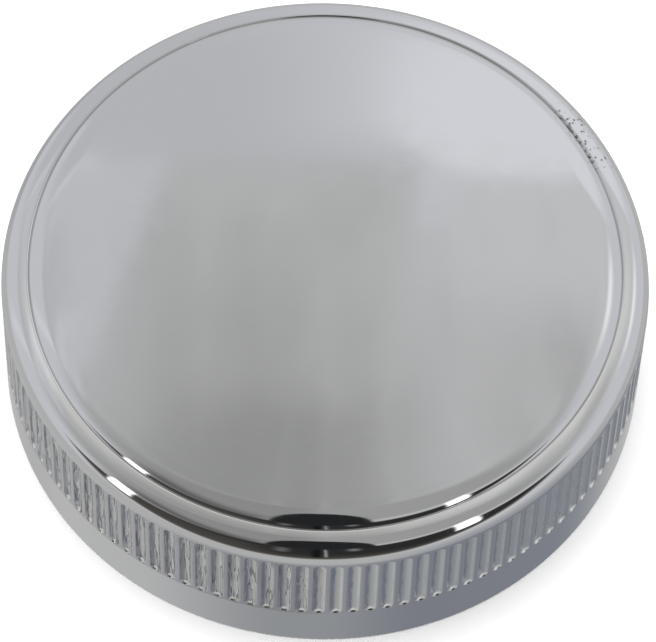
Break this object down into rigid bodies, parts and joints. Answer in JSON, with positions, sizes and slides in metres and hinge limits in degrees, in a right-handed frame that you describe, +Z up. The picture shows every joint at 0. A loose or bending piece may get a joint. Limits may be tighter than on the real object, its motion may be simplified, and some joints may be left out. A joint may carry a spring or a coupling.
{
  "type": "deck fill cap",
  "caption": "Round chromed filler cap with a coin-edge grip band, a bayonet plate, a sprung gasket and a vented breather valve underneath.",
  "frame": {"origin": "centre of the skirt's rim, on the plane the cap stands on", "axes": "+Z up the cap's axis, out through the polished disc; the bayonet ears lie along +Y and -Y, and the tether eye points along -Y"},
  "size_m": [0.0764, 0.0764, 0.0236],
  "materials": {
    "chrome_plate": "mirror polished chrome on brass",
    "zinc_steel": "zinc plated",
    "stainless": "bright stainless",
    "spring_steel": "drawn wire",
    "brass": "turned",
    "nitrile": "matt moulded",
    "acetal": "natural white"
  },
  "bodies": {
    "cap": {"cap_shell": "chrome_plate", "liner_plate": "zinc_steel", "valve_housing": "brass", "housing_rivets": "zinc_steel", "lock_plate": "zinc_steel", "lock_plate_screws": "stainless", "valve_seat": "brass", "spring_cap": "zinc_steel", "baffle_cup": "zinc_steel", "tether_screw": "stainless", "tether_nut": "stainless"},
    "gasket_seat": {"thrust_washer": "acetal"},
    "gasket_unit": {"gasket_spring": "spring_steel", "gasket_carrier": "zinc_steel", "gasket": "nitrile", "gasket_retainer": "stainless"},
    "pressure_valve": {"pressure_spring": "spring_steel", "pressure_plate": "brass", "valve_seal": "nitrile"},
    "vacuum_valve": {"vacuum_spring": "spring_steel", "vacuum_disc": "brass", "vacuum_retainer": "brass", "vacuum_clip": "spring_steel"},
    "tether_link": {"tether_eye": "stainless"}
  },
  "joints": [
    {"name": "gasket_turn", "type": "hinge", "parent": "cap", "child": "gasket_seat", "pos_m": [0, 0, 0.0191], "axis": [0, 0, 1], "continuous": true},
    {"name": "gasket_press", "type": "slide", "parent": "gasket_seat", "child": "gasket_unit", "axis": [0, 0, 1], "range_m": [0, 0.002], "stiffness_N_per_m": 5000, "springref_m": -0.002, "deforming": ["gasket_spring"]},
    {"name": "pressure_lift", "type": "slide", "parent": "cap", "child": "pressure_valve", "axis": [0, 0, 1], "range_m": [0, 0.0018], "stiffness_N_per_m": 1500, "springref_m": -0.002, "deforming": ["pressure_spring"]},
    {"name": "vacuum_drop", "type": "slide", "parent": "pressure_valve", "child": "vacuum_valve", "axis": [0, 0, -1], "range_m": [0, 0.0014], "stiffness_N_per_m": 300, "springref_m": -0.002, "deforming": ["vacuum_spring"]},
    {"name": "tether_swivel", "type": "hinge", "parent": "cap", "child": "tether_link", "pos_m": [0, 0, 0.0023], "axis": [0, 0, 1], "continuous": true}
  ]
}
